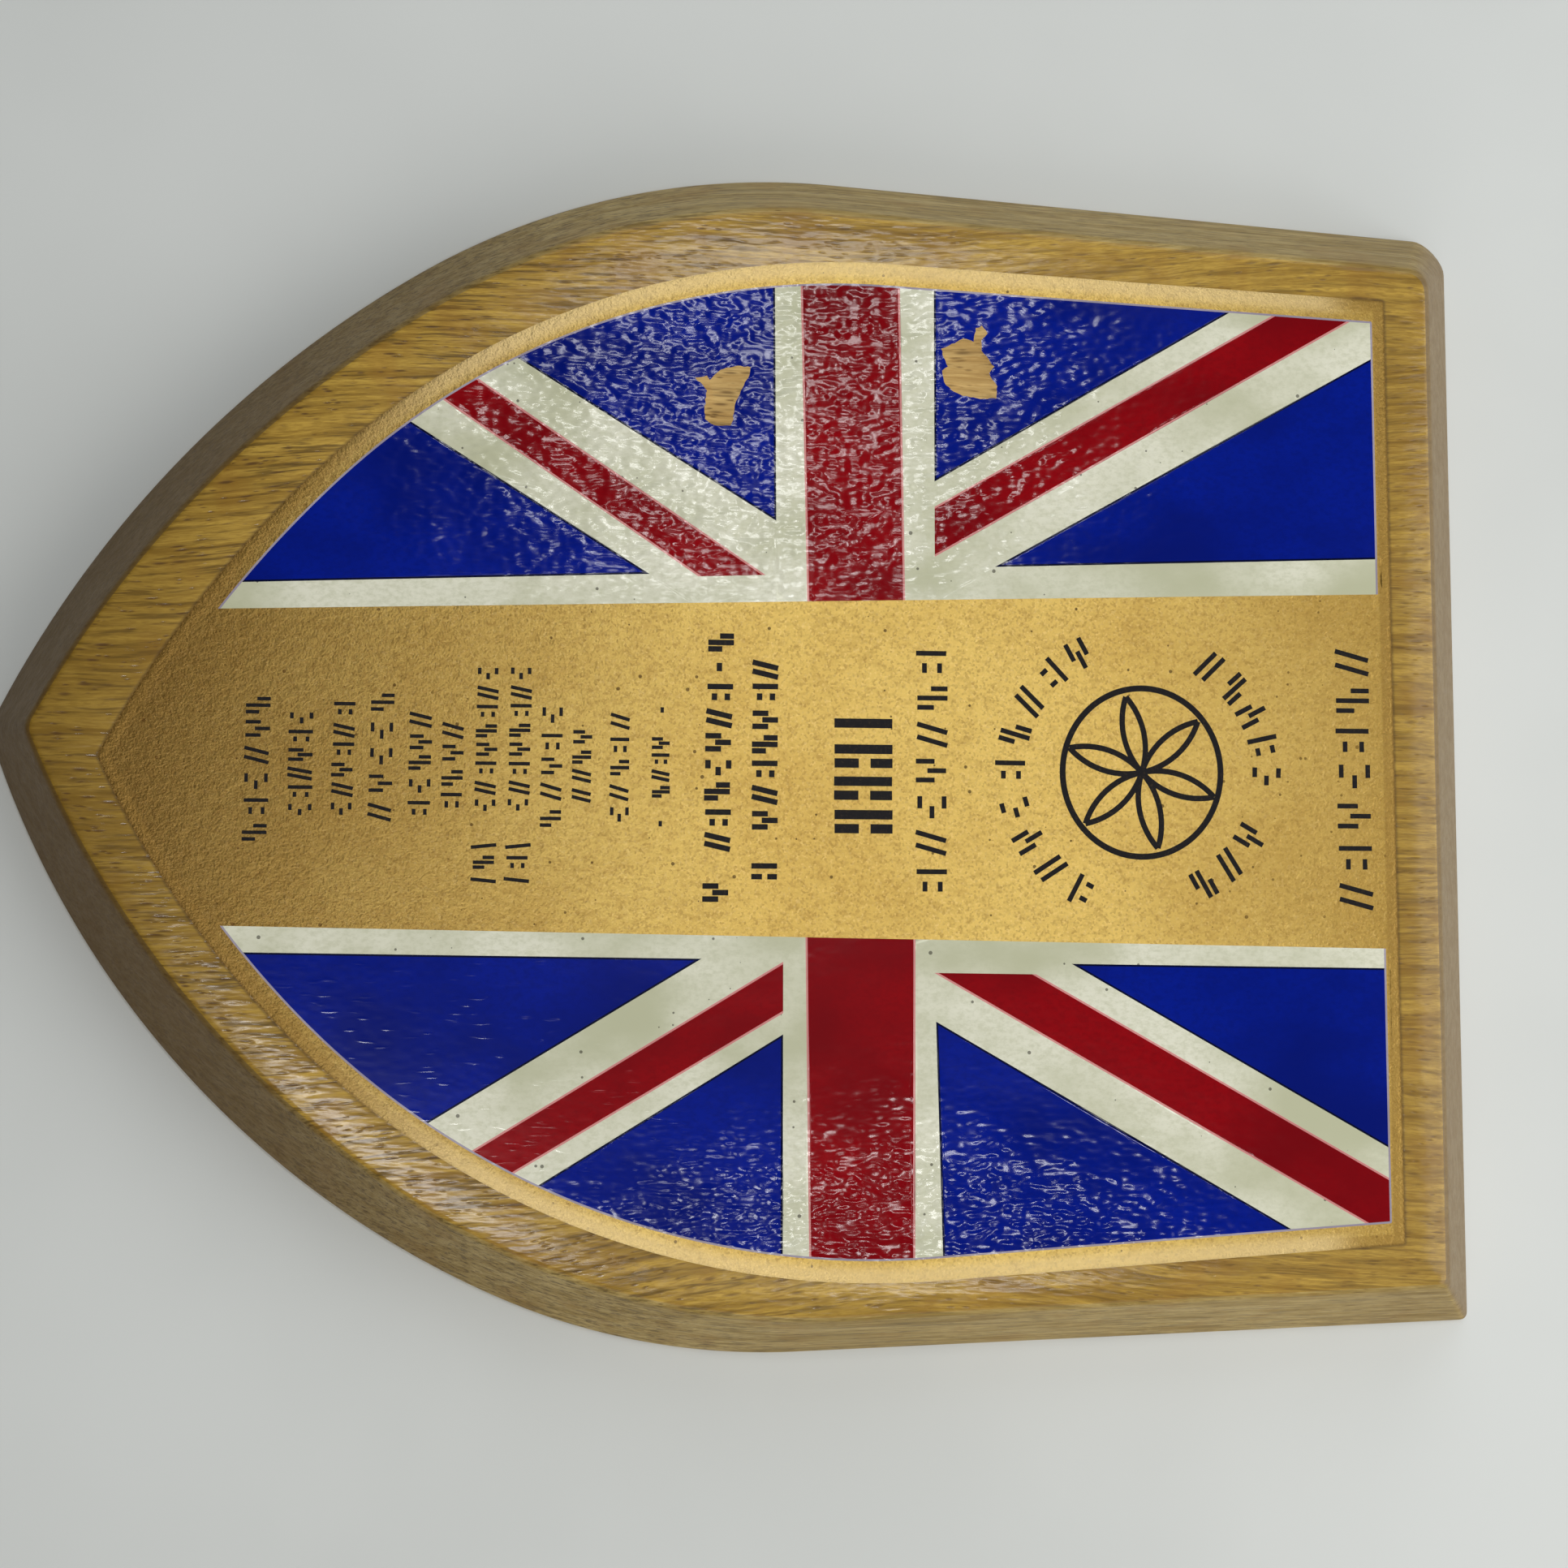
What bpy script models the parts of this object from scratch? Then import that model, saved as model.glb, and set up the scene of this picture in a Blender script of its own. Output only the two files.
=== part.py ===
"""Commemorative wooden shield plaque: a heater-shaped blank with a flat face and a bevelled border.

The plaque stands upright. +Z points to the shield's top edge and the decorated face looks along -Y.
The flat back lies in the plane y = 0, with the origin at the middle of the outline.
"""
import math
from typing import NamedTuple

import bmesh
import bpy
from mathutils import Vector

MM = 0.001

# Sizes in millimetres.
THICKNESS = 11.0
BORDER_WIDTH = 5.5      # the bevelled border as seen from the front
RIDGE_EASE = 0.45       # softened edge between the border and the face
BACK_EASE = 0.3         # softened edge round the back

# Points along each part of an outline.
SHOULDER_STEPS = 16
LOWER_STEPS = 26
CORNER_STEPS = 6
EASE_STEPS = 4


class Side(NamedTuple):
    """A side runs straight from the top corner, then through a shoulder arc and a lower arc."""
    corner: float           # top corner, out from the centre line
    flare: float            # outward lean of the straight run going down, in degrees
    straight: float         # length of the straight run
    shoulder: float         # radius of the shoulder arc
    turn: float             # degrees that the shoulder arc turns through
    lower: float            # radius of the lower arc, which ends at the point of the shield
    corner_round: float     # length of edge that the worn top corner takes up


class Shape(NamedTuple):
    """An outline. Left and right are the viewer's, and the two hand-sawn sides differ a little."""
    top: float              # height of the top edge on the centre line
    slope: float            # rise of the top edge to the right, in degrees
    point_round: float      # length of edge that the blunted point takes up
    left: Side
    right: Side


BASE = Shape(
    top=76.35, slope=0.73, point_round=1.2,
    left=Side(corner=56.75, flare=3.70, straight=66.9, shoulder=73.2, turn=35.2, lower=111.9, corner_round=3.4),
    right=Side(corner=58.56, flare=2.09, straight=71.7, shoulder=69.9, turn=26.2, lower=94.6, corner_round=0.9),
)
FACE = Shape(
    top=70.77, slope=0.72, point_round=1.0,
    left=Side(corner=51.03, flare=4.02, straight=61.5, shoulder=66.6, turn=34.3, lower=110.1, corner_round=2.4),
    right=Side(corner=53.78, flare=2.56, straight=61.6, shoulder=73.8, turn=36.0, lower=100.2, corner_round=0.8),
)


class SideCurve:
    """The arcs of one side, on the right for hand = 1 and mirrored to the left for hand = -1."""

    def __init__(self, shape, side, hand):
        slope = math.radians(shape.slope)
        self.side = side
        self.hand = hand
        self.start = math.radians(side.flare)
        self.joint = self.start - math.radians(side.turn)
        self.corner = Vector((side.corner, shape.top + hand * side.corner * math.tan(slope)))
        self.down = Vector((math.sin(self.start), -math.cos(self.start)))
        shoulder = self.corner + side.straight * self.down
        self.shoulder_centre = shoulder - side.shoulder * unit(self.start)
        self.lower_centre = self.shoulder_centre + (side.shoulder - side.lower) * unit(self.joint)

    def placed(self, point):
        """Mirror a point to the side's own half."""
        return Vector((self.hand * point.x, point.y))

    def points(self, tip, point_round):
        """Points down the side, between the rounding at its corner and the rounding at the tip."""
        side = self.side
        to_tip = self.placed(tip) - self.lower_centre
        end = math.atan2(to_tip.y, to_tip.x) + point_round / side.lower
        run = [self.corner + side.corner_round * self.down]
        run += arc(self.shoulder_centre, side.shoulder, self.start, self.joint, SHOULDER_STEPS)
        run += arc(self.lower_centre, side.lower, self.joint, end, LOWER_STEPS)[1:]
        return [self.placed(point) for point in run]


def unit(angle):
    return Vector((math.cos(angle), math.sin(angle)))


def arc(centre, radius, start, end, steps):
    """Points along an arc, both ends included."""
    return [centre + radius * unit(start + (end - start) * i / steps) for i in range(steps + 1)]


def blend(start, corner, end, steps):
    """Points along a smooth curve that leaves start and reaches end on their lines to the corner."""
    shares = [i / steps for i in range(steps + 1)]
    return [start * (1 - t) ** 2 + corner * (2 * t * (1 - t)) + end * t ** 2 for t in shares]


def lowest_crossing(left, right):
    """The lower point where the two sides' lower arcs cross: the tip of the shield."""
    centre = left.placed(left.lower_centre)
    span = right.placed(right.lower_centre) - centre
    along = (span.length_squared + left.side.lower ** 2 - right.side.lower ** 2) / (2 * span.length)
    across = math.sqrt(left.side.lower ** 2 - along ** 2)
    direction = span.normalized()
    offset = across * Vector((direction.y, -direction.x))
    middle = centre + along * direction
    return min(middle + offset, middle - offset, key=lambda point: point.y)


def outline(shape):
    """Closed outline as (x, z) points, clockwise from the front and starting at the right corner."""
    left = SideCurve(shape, shape.left, -1)
    right = SideCurve(shape, shape.right, 1)
    tip = lowest_crossing(left, right)
    left_run = left.points(tip, shape.point_round)
    right_run = right.points(tip, shape.point_round)
    left_corner = left.placed(left.corner)
    right_corner = right.placed(right.corner)
    top_edge = (right_corner - left_corner).normalized()
    right_start = right_corner - shape.right.corner_round * top_edge
    left_end = left_corner + shape.left.corner_round * top_edge
    ring = blend(right_start, right_corner, right_run[0], CORNER_STEPS)
    ring += right_run[1:]
    ring += blend(right_run[-1], tip, left_run[-1], CORNER_STEPS)[1:]
    ring += left_run[-2::-1]
    ring += blend(left_run[0], left_corner, left_end, CORNER_STEPS)[1:]
    return ring


def border_profile():
    """Section of the border from the back to the face, as (share of the way in, height) points."""
    slant = math.hypot(BORDER_WIDTH, THICKNESS)
    foot = Vector((0.0, 0.0))
    ridge = Vector((1.0, THICKNESS))
    back_start = Vector((BACK_EASE / BORDER_WIDTH, 0.0))
    back_end = foot.lerp(ridge, BACK_EASE / slant)
    ridge_start = ridge.lerp(foot, RIDGE_EASE / slant)
    ridge_end = Vector((1.0 + RIDGE_EASE / BORDER_WIDTH, THICKNESS))
    return blend(back_start, foot, back_end, EASE_STEPS) + blend(ridge_start, ridge, ridge_end, EASE_STEPS)


def build_shield():
    base = outline(BASE)
    face = outline(FACE)
    bm = bmesh.new()
    rings = []
    for share, height in border_profile():
        ring = [outer.lerp(inner, share) for outer, inner in zip(base, face)]
        rings.append([bm.verts.new((p.x * MM, -height * MM, p.y * MM)) for p in ring])
    for lower, upper in zip(rings, rings[1:]):
        for i in range(len(lower)):
            bm.faces.new((lower[i - 1], lower[i], upper[i], upper[i - 1]))
    bm.faces.new(rings[0])
    bm.faces.new(rings[-1])
    bmesh.ops.recalc_face_normals(bm, faces=bm.faces)
    mesh = bpy.data.meshes.new("shield")
    bm.to_mesh(mesh)
    bm.free()
    shield = bpy.data.objects.new("shield", mesh)
    bpy.context.scene.collection.objects.link(shield)
    return shield


def varnished_wood():
    material = bpy.data.materials.new("varnished_wood")
    material.use_nodes = True
    shader = material.node_tree.nodes["Principled BSDF"]
    shader.inputs["Base Color"].default_value = (0.42, 0.27, 0.09, 1.0)
    shader.inputs["Roughness"].default_value = 0.4
    return material


def main():
    for obj in list(bpy.data.objects):
        bpy.data.objects.remove(obj, do_unlink=True)
    shield = build_shield()
    shield.data.materials.append(varnished_wood())


main()
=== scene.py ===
import math
import random
from typing import NamedTuple

import bpy
import numpy as np
from mathutils import Matrix, Vector
from mathutils.geometry import delaunay_2d_cdt


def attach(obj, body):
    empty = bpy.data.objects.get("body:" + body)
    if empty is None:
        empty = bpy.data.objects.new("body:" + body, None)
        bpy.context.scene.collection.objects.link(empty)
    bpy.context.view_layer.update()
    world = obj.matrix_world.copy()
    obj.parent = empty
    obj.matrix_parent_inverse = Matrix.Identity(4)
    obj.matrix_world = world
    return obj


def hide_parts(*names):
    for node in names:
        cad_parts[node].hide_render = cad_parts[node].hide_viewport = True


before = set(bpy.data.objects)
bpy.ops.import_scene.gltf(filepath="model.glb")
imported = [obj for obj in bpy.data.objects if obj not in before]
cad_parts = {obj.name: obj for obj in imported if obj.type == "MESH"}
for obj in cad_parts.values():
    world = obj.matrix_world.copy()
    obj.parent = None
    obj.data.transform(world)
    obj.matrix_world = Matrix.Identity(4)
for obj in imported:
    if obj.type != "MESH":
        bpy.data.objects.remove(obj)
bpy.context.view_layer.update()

MM = 0.001

# The blank, in millimetres. It has the outlines and the thickness that the solid is made from.
THICKNESS = 11.0
BORDER_WIDTH = 5.5
RIDGE_EASE = 0.8        # softened edge between the border and the face
BACK_EASE = 0.3         # softened edge round the back

# The low relief of the face, in millimetres.
CROWN = 0.20            # how far the wood round the panel falls away to the outer ridge
PANEL_DEPTH = 0.045     # how far the gold panel lies below the wood at its widest
PRINT_DEPTH = 0.015     # how much lower everything inside the gold edging lies
GROOVE_DEPTH = 0.022    # the groove along the edge of the panel
GROOVE_WIDTH = 0.24
CHIP_DEPTH = 0.06       # the bare wood of a flake, below the paint round it


class Side(NamedTuple):
    """A side runs straight from the top corner, then through a shoulder arc and a lower arc."""
    corner: float           # top corner, out from the centre line
    flare: float            # outward lean of the straight run going down, in degrees
    straight: float         # length of the straight run
    shoulder: float         # radius of the shoulder arc
    turn: float             # degrees that the shoulder arc turns through
    lower: float            # radius of the lower arc, which ends at the point of the shield
    corner_round: float     # length of edge that the worn top corner takes up


class Shape(NamedTuple):
    """An outline. Left and right are the viewer's, and the two sides differ a little."""
    top: float              # height of the top edge on the centre line
    slope: float            # rise of the top edge to the right, in degrees
    point_round: float      # length of edge that the blunted point takes up
    left: Side
    right: Side
    facet: float = 1.0      # pull of the left corner; below 1 the worn corner is a flat facet


# The back's outline, the ridge round the face, the gold panel's edge and the flags' edge. The numbers
# of each side are in the order of its fields above.
BASE = Shape(
    top=76.35, slope=0.73, point_round=1.2,
    left=Side(56.75, 3.70, 66.9, 73.2, 35.2, 111.9, 3.4),
    right=Side(58.56, 2.09, 71.7, 69.9, 26.2, 94.6, 0.9),
    facet=0.45,
)
FACE = Shape(
    top=70.77, slope=0.72, point_round=1.0,
    left=Side(51.03, 4.02, 61.5, 66.6, 34.3, 110.1, 2.4),
    right=Side(53.78, 2.56, 61.6, 73.8, 36.0, 100.2, 0.8),
)
GILT = Shape(
    top=66.05, slope=0.84, point_round=0.4,
    left=Side(47.68, 2.64, 51.7, 76.0, 46.7, 114.3, 0.3),
    right=Side(49.43, 3.94, 48.3, 82.6, 48.5, 94.1, 0.3),
)
FLAGS = Shape(
    top=64.73, slope=0.82, point_round=0.4,
    left=Side(45.52, 2.64, 50.8, 73.8, 46.7, 112.1, 0.2),
    right=Side(47.29, 3.94, 47.4, 80.4, 48.5, 91.9, 0.2),
)

# Points along each part of an outline in the fine mesh, and rings across each part of the border.
TOP_STEPS = 60
STRAIGHT_STEPS = 36
SHOULDER_STEPS = 40
LOWER_STEPS = 60
CORNER_STEPS = 8
BACK_EASE_STEPS = 5
BORDER_STEPS = 12
RIDGE_EASE_STEPS = 6
WOOD_LEVELS = 2         # the innermost rings of faces, which are finished as the face's wood is


def unit(angle):
    """The direction at this angle in radians, anticlockwise from +X."""
    return np.array((math.cos(angle), math.sin(angle)))


def arc(centre, radius, start, end, steps):
    """Points along an arc, both ends included."""
    return [centre + radius * unit(start + (end - start) * i / steps) for i in range(steps + 1)]


def line(start, end, steps):
    """Points along a straight run, both ends included."""
    return [start + (end - start) * i / steps for i in range(steps + 1)]


def blend(start, corner, end, steps, pull=1.0):
    """A rounded corner. A pull below 1 flattens it towards a straight facet."""
    run = []
    for i in range(steps + 1):
        t = i / steps
        weights = ((1 - t) ** 2, 2 * pull * t * (1 - t), t ** 2)
        total = start * weights[0] + corner * weights[1] + end * weights[2]
        run.append(total / sum(weights))
    return run


class SideCurve:
    """One side of an outline, on the right for hand = 1 and mirrored to the left for hand = -1."""

    def __init__(self, shape, side, hand):
        self.side = side
        self.hand = hand
        self.start = math.radians(side.flare)
        self.joint = self.start - math.radians(side.turn)
        rise = hand * side.corner * math.tan(math.radians(shape.slope))
        self.corner = np.array((side.corner, shape.top + rise))
        self.down = np.array((math.sin(self.start), -math.cos(self.start)))
        self.shoulder = self.corner + side.straight * self.down
        self.upper_centre = self.shoulder - side.shoulder * unit(self.start)
        self.lower_centre = self.upper_centre + (side.shoulder - side.lower) * unit(self.joint)

    def placed(self, point):
        """A point mirrored to the side's own half."""
        return np.array((self.hand * point[0], point[1]))

    def points(self, tip, point_round):
        """Points down the side, between the rounding at its corner and the rounding at the tip."""
        side = self.side
        to_tip = self.placed(tip) - self.lower_centre
        end = math.atan2(to_tip[1], to_tip[0]) + point_round / side.lower
        run = line(self.corner + side.corner_round * self.down, self.shoulder, STRAIGHT_STEPS)
        run += arc(self.upper_centre, side.shoulder, self.start, self.joint, SHOULDER_STEPS)[1:]
        run += arc(self.lower_centre, side.lower, self.joint, end, LOWER_STEPS)[1:]
        return [self.placed(point) for point in run]


def lowest_crossing(left, right):
    """The lower point where the two sides' lower arcs cross: the tip of the shield."""
    centre = left.placed(left.lower_centre)
    span = right.placed(right.lower_centre) - centre
    length = np.hypot(*span)
    along = (length ** 2 + left.side.lower ** 2 - right.side.lower ** 2) / (2 * length)
    across = math.sqrt(left.side.lower ** 2 - along ** 2)
    direction = span / length
    offset = across * np.array((direction[1], -direction[0]))
    middle = centre + along * direction
    return min(middle + offset, middle - offset, key=lambda point: point[1])


def outline(shape):
    """Closed outline, clockwise from the front and starting at the top right corner."""
    left = SideCurve(shape, shape.left, -1)
    right = SideCurve(shape, shape.right, 1)
    tip = lowest_crossing(left, right)
    left_run = left.points(tip, shape.point_round)
    right_run = right.points(tip, shape.point_round)
    left_corner = left.placed(left.corner)
    right_corner = right.placed(right.corner)
    top_edge = (right_corner - left_corner) / np.hypot(*(right_corner - left_corner))
    right_start = right_corner - shape.right.corner_round * top_edge
    left_end = left_corner + shape.left.corner_round * top_edge
    ring = blend(right_start, right_corner, right_run[0], CORNER_STEPS)
    ring += right_run[1:]
    ring += blend(right_run[-1], tip, left_run[-1], CORNER_STEPS)[1:]
    ring += left_run[-2::-1]
    ring += blend(left_run[0], left_corner, left_end, CORNER_STEPS, shape.facet)[1:]
    ring += line(left_end, right_start, TOP_STEPS)[1:-1]
    return np.array(ring)


def outward_normals(ring):
    """Unit normals of a clockwise ring, pointing away from its middle, mitred at corners."""
    ahead = np.roll(ring, -1, axis=0) - ring
    ahead /= np.linalg.norm(ahead, axis=1)[:, None]
    behind = np.roll(ahead, 1, axis=0)
    first = np.stack((-behind[:, 1], behind[:, 0]), axis=1)
    second = np.stack((-ahead[:, 1], ahead[:, 0]), axis=1)
    mean = first + second
    return mean / (0.5 * (mean ** 2).sum(axis=1))[:, None]


def distance_to(ring, points):
    """Signed distance from each point to a closed ring, negative inside it."""
    start = ring
    step = np.roll(ring, -1, axis=0) - ring
    square = (step ** 2).sum(axis=1)
    nearest = np.full(len(points), 1e9)
    inside = np.zeros(len(points), bool)
    for (ax, az), (dx, dz), length in zip(start, step, square):
        px = points[:, 0] - ax
        pz = points[:, 1] - az
        share = np.clip((px * dx + pz * dz) / max(length, 1e-12), 0, 1)
        nearest = np.minimum(nearest, np.hypot(px - share * dx, pz - share * dz))
        crosses = (pz < 0) != (pz - dz < 0)
        if dz:
            inside ^= crosses & (px < dx * pz / dz)
    return np.where(inside, -nearest, nearest)


# The artwork. Each line is given by two (x, z) points in millimetres on the face.
FAR = 260.0             # further out than any point of the face
# The long upright edges of each half: the gold's side and the far side of the white strip along it.
STRIP = {"L": ((-13.80, -48.40), (-17.05, 63.72)), "R": ((17.69, -47.94), (19.28, 58.05))}
STRIP_WHITE = {"L": ((-16.43, -48.44), (-20.66, 62.89)), "R": ((20.24, -47.91), (21.36, 62.54))}


def meet(first, second):
    """Where two lines, each given by two points, cross."""
    (ax, az), (bx, bz) = first
    (cx, cz), (dx, dz) = second
    matrix = np.array(((bx - ax, cx - dx), (bz - az, cz - dz)))
    share = np.linalg.solve(matrix, np.array((cx - ax, cz - az)))[0]
    return np.array((ax + share * (bx - ax), az + share * (bz - az)))


def far_end(edge):
    """A point far out along a line, past its second point."""
    (ax, az), (bx, bz) = edge
    reach = FAR / math.hypot(bx - ax, bz - az)
    return np.array((ax + reach * (bx - ax), az + reach * (bz - az)))


def band(edges, start):
    """The band between two edges, from a starting line outwards."""
    first, second = edges
    return [meet(first, start), far_end(first), far_end(second), meet(second, start)]


def clipped(points, ring):
    """The part of a polygon that lies within a convex clockwise ring."""
    for start, end in zip(ring, np.roll(ring, -1, axis=0)):
        ahead = end - start
        inside = [ahead[0] * (z - start[1]) <= ahead[1] * (x - start[0]) for x, z in points]
        kept = []
        for i, point in enumerate(points):
            if inside[i] != inside[i - 1]:
                kept.append(meet((points[i - 1], point), (start, end)))
            if inside[i]:
                kept.append(point)
        points = kept
    return points


def strip_band(inner, outer):
    """The upright band between two long lines, from far below to far above."""
    return [far_end(inner[::-1]), far_end(inner), far_end(outer), far_end(outer[::-1])]


def shifted(edge, dx):
    """A line moved sideways."""
    return tuple((x + dx, z) for x, z in edge)


def spread(edges, by):
    """The two edges of a band, each moved outwards."""
    moved = []
    for edge, other in (edges, edges[::-1]):
        start, end = np.array(edge)
        across = np.array((start[1] - end[1], end[0] - start[0])) / np.linalg.norm(end - start)
        if np.dot(np.mean(other, axis=0) - start, across) > 0:
            across = -across
        moved.append((tuple(start + by * across), tuple(end + by * across)))
    return moved


# Edges of the level bars and of the diagonals, from the middle of the shield outwards. A diagonal's
# red band starts at its cut.
BAR_RED = {
    "L": (((-25.00, 5.25), (-43.57, 4.80)), ((-24.04, 14.90), (-43.84, 14.53))),
    "R": (((27.01, 5.55), (47.48, 5.86)), ((27.00, 16.16), (49.15, 16.17))),
}
BAR_WHITE = {
    "L": (((-27.08, 2.07), (-41.83, 1.93)), ((-28.76, 18.25), (-42.27, 18.19))),
    "R": (((30.25, 3.01), (47.46, 3.05)), ((30.24, 18.57), (47.40, 19.10))),
}
DIAGONALS = {
    "L_low": {
        "white": (((-18.40, -11.52), (-31.13, -32.00)), ((-24.12, 1.07), (-38.10, -21.86))),
        "red": (((-18.57, -6.68), (-33.78, -29.24)), ((-18.70, -0.42), (-35.71, -26.01))),
        "cut": shifted(STRIP_WHITE["L"], dx=0.35),
    },
    "L_high": {
        "white": (((-28.56, 19.50), (-45.80, 48.60)), ((-20.48, 26.74), (-41.01, 62.94))),
        "red": (((-25.65, 19.36), (-45.69, 53.64)), ((-21.01, 19.40), (-45.42, 61.33))),
        "cut": BAR_WHITE["L"][1],
    },
    "R_low": {
        "white": (((21.38, -6.38), (35.91, -30.41)), ((28.94, 1.78), (42.00, -19.50))),
        "red": (((21.99, 1.65), (39.00, -26.37)), ((26.58, 1.76), (41.17, -22.81))),
        "cut": BAR_WHITE["R"][0],
    },
    "R_high": {
        "white": (((22.15, 34.26), (38.82, 63.70)), ((27.71, 19.88), (47.28, 53.96))),
        "red": (((22.69, 29.28), (42.32, 64.06)), ((23.29, 20.94), (47.56, 63.55))),
        "cut": shifted(STRIP_WHITE["R"], dx=1.1),
    },
}
# Two places where the blue paint has flaked off and shows the wood, as outlines of (x, z) points.
CHIPS = (
    ((-37.9, -6.2), (-38.1, -5.0), (-37.7, -4.7), (-38.5, -3.9), (-39.0, -3.0), (-39.2, -1.6), (-39.1, -0.6),
     (-38.0, -0.8), (-36.9, -1.4), (-36.0, -1.8), (-35.0, -2.2), (-33.7, -2.3), (-33.1, -2.6), (-33.0, -3.8),
     (-33.2, -4.6), (-33.7, -5.2), (-35.0, -5.2), (-36.6, -5.0), (-37.1, -5.4)),
    ((-41.5, 18.9), (-42.0, 20.0), (-42.6, 21.2), (-42.3, 22.3), (-43.7, 22.5), (-44.0, 23.1), (-43.2, 23.7),
     (-42.4, 23.1), (-41.4, 23.1), (-40.5, 23.9), (-39.8, 24.4), (-39.1, 23.9), (-38.4, 24.2), (-37.8, 24.7),
     (-36.5, 24.6), (-36.4, 23.0), (-36.7, 21.2), (-37.2, 20.0), (-38.1, 19.2), (-39.2, 19.0), (-39.7, 19.6),
     (-40.6, 19.2)),
)


class Row(NamedTuple):
    """A row of print marks: middle height, reach from left to right, mark height and tilt."""
    z: float
    left: float
    right: float
    height: float
    tilt: float
    marks: str              # one letter a mark, naming its kind; a space is a gap
    weight: float = 0.36    # thickness of the strokes


ROWS = (
    Row(61.8, -11.3, 15.3, 3.5, 0.014, "bdaecab", 0.50),
    Row(18.0, -10.7, 13.9, 3.1, 0.001, "adbceba", 0.50),
    Row(10.9, -4.3, 8.1, 5.9, 0.002, "gfff", 0.95),
    Row(1.05, -9.4, 12.8, 2.6, -0.008, "bacdabc f", 0.56),
    Row(-3.65, -12.0, 15.0, 2.6, -0.013, "dhabcedab c", 0.56),
    Row(-9.4, -4.7, 7.8, 1.8, -0.013, "h cabd h"),
    Row(-13.5, -3.8, 7.3, 1.9, -0.013, "badbe"),
    Row(-17.3, -2.0, 5.1, 1.9, -0.012, "cdbb"),
    Row(-20.3, -4.4, 7.6, 2.1, -0.011, "eacbd"),
    Row(-23.5, -8.3, 13.8, 2.1, -0.016, "ebadcabe iaj"),
    Row(-26.8, -8.2, 13.8, 2.1, -0.015, "ebadcabe idj"),
    Row(-30.1, -2.8, 6.0, 2.1, -0.014, "bcda"),
    Row(-33.3, -3.7, 6.6, 2.2, -0.014, "bcdea"),
    Row(-37.1, -5.4, 7.1, 2.3, -0.018, "deecb"),
    Row(-40.9, -4.5, 6.7, 2.1, -0.017, "abacbe"),
    Row(-45.0, -3.5, 6.7, 2.4, -0.016, "eacbae"),
    Row(-49.3, -5.1, 9.3, 2.4, -0.015, "dcbead"),
)

# Each kind of mark is a few separate strokes (x, z, x, z) in a box one wide and one high.
# They stand like print from a step away, but none of them is a letter.
MARKS = {
    "a": ((0.15, 0.0, 0.15, 1.0), (0.55, 0.78, 0.95, 0.78), (0.55, 0.28, 0.95, 0.28)),
    "b": ((0.10, 0.0, 0.45, 1.0), (0.62, 0.0, 0.97, 1.0)),
    "c": ((0.12, 0.0, 0.12, 0.62), (0.50, 0.38, 0.50, 1.0), (0.88, 0.0, 0.88, 0.62)),
    "d": ((0.12, 0.45, 0.12, 1.0), (0.50, 0.0, 0.50, 1.0), (0.88, 0.0, 0.88, 0.55)),
    "e": ((0.05, 0.9, 0.55, 0.9), (0.45, 0.5, 0.95, 0.5), (0.05, 0.1, 0.55, 0.1)),
    "f": ((0.18, 0.0, 0.18, 1.0), (0.80, 0.0, 0.80, 0.42), (0.80, 0.62, 0.80, 1.0)),
    "g": ((0.50, 0.0, 0.50, 1.0),),
    "h": ((0.25, 0.5, 0.75, 0.5),),
    "i": ((0.75, -0.1, 0.55, 1.1),),
    "j": ((0.25, -0.1, 0.45, 1.1),),
}
MARK_SHARE = 0.68       # how much of its space in the row a mark takes up

# The ring with its rosette, and the marks set round it.
RING_CENTRE = (1.58, 39.62)
RING_RADII = (8.9, 8.5)
RING_LINE = 0.62
RING_STEPS = 96
PETAL_LINE = 0.58
PETAL_STEPS = 24
PETALS = 6
ROSETTE_TURN = 12       # degrees
ARCS = ((13.0, -57, 60, "bdcae cbd"), (-13.6, 62, -62, "cabdaecba"))    # radius, degrees from and to
ARC_MARK_HEIGHT = 3.1
ARC_MARK_WIDTH = 2.0
ARC_MARK_WEIGHT = 0.5


def stroke(start, end, width):
    """A bar from start to end."""
    start = np.asarray(start, float)
    end = np.asarray(end, float)
    along = end - start
    across = np.array((-along[1], along[0])) * (0.5 * width / np.hypot(*along))
    return [start + across, start - across, end - across, end + across]


def mark_bars(kind, placed, weight):
    """The bars of one mark. The function given puts a point of the mark's box on the face."""
    return [stroke(placed(x0, z0), placed(x1, z1), weight) for x0, z0, x1, z1 in MARKS[kind]]


def row_bars(row, rng):
    """The bars of one row of marks, unevenly spaced as hand-set print is."""
    pitch = (row.right - row.left) / (len(row.marks) - 0.3)
    width = MARK_SHARE * pitch
    middle = 0.5 * (row.left + row.right)
    bars = []
    for i, kind in enumerate(row.marks):
        if kind == " ":
            continue
        left = row.left + pitch * (i + rng.uniform(-0.05, 0.05))
        lift = row.z - 0.5 * row.height + rng.uniform(-0.03, 0.03) * row.height

        def placed(x, z):
            across = left + x * width
            return across, lift + z * row.height + row.tilt * (across - middle)

        bars += mark_bars(kind, placed, row.weight)
    return bars


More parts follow.
